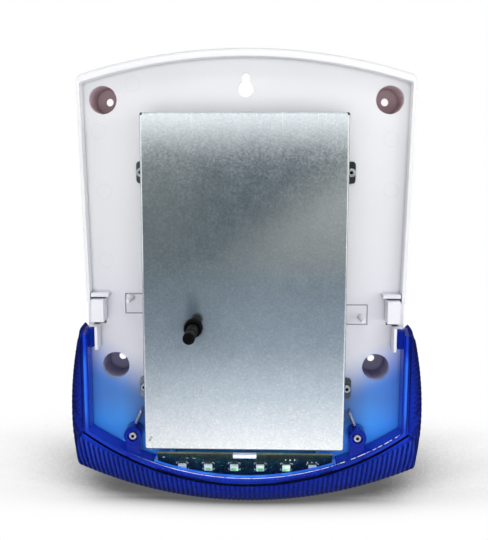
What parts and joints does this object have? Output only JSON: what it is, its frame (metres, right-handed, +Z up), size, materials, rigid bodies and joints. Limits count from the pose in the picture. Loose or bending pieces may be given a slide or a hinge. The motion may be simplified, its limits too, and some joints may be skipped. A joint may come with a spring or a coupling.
{
  "type": "alarm siren",
  "caption": "Wall alarm siren with its front cover off: white tray with fixing wells, ribbed blue strobe lens, strobe board, steel inner cover and sprung tamper plunger.",
  "frame": {"origin": "on the wall plane, in the middle of the four wall-fixing holes", "axes": "+X to the viewer's right, +Y into the wall, +Z up"},
  "size_m": [0.2348, 0.083, 0.2963],
  "materials": {
    "white_plastic": "fine satin moulding",
    "blue_lens": "polished, ribbed, translucent",
    "zinc_steel": "zinc-coated sheet with faint spangle",
    "screw_steel": "bright zinc",
    "black_rubber": "satin",
    "switch_plastic": "satin",
    "spring_steel": "drawn wire",
    "board_green": "solder resist",
    "led_white": "white package, pale yellow window",
    "socket_white": "satin",
    "terminal_green": "satin",
    "battery_wrap": "shrink wrap",
    "siren_black": "satin",
    "disc_brass": "plain"
  },
  "bodies": {
    "housing": {"base": "white_plastic", "lens": "blue_lens", "lens_screw_left": "screw_steel", "lens_screw_right": "screw_steel", "steel_cover": "zinc_steel", "cover_screw_upper_left": "screw_steel", "cover_screw_upper_right": "screw_steel", "cover_screw_lower_left": "screw_steel", "cover_screw_lower_right": "screw_steel", "tamper_grommet": "black_rubber", "tamper_spring": "spring_steel", "tamper_switch": "switch_plastic", "main_board": "board_green", "board_screw_1": "screw_steel", "board_screw_2": "screw_steel", "board_screw_3": "screw_steel", "board_screw_4": "screw_steel", "terminal_block": "terminal_green", "battery_pack": "battery_wrap", "battery_strap": "zinc_steel", "strap_screw_left": "screw_steel", "strap_screw_right": "screw_steel", "siren_housing": "siren_black", "siren_diaphragm": "disc_brass", "siren_cap": "siren_black", "siren_screw_left": "screw_steel", "siren_screw_right": "screw_steel", "led_board": "board_green", "led_1": "led_white", "led_2": "led_white", "led_3": "led_white", "led_4": "led_white", "led_5": "led_white", "led_6": "led_white", "led_connector": "socket_white"},
    "plunger": {"tamper_plunger": "black_rubber"}
  },
  "joints": [
    {"name": "tamper_press", "type": "slide", "parent": "housing", "child": "plunger", "axis": [0, 1, 0], "range_m": [0, 0.006], "stiffness_N_per_m": 300, "springref_m": -0.004, "deforming": ["tamper_spring"]}
  ]
}
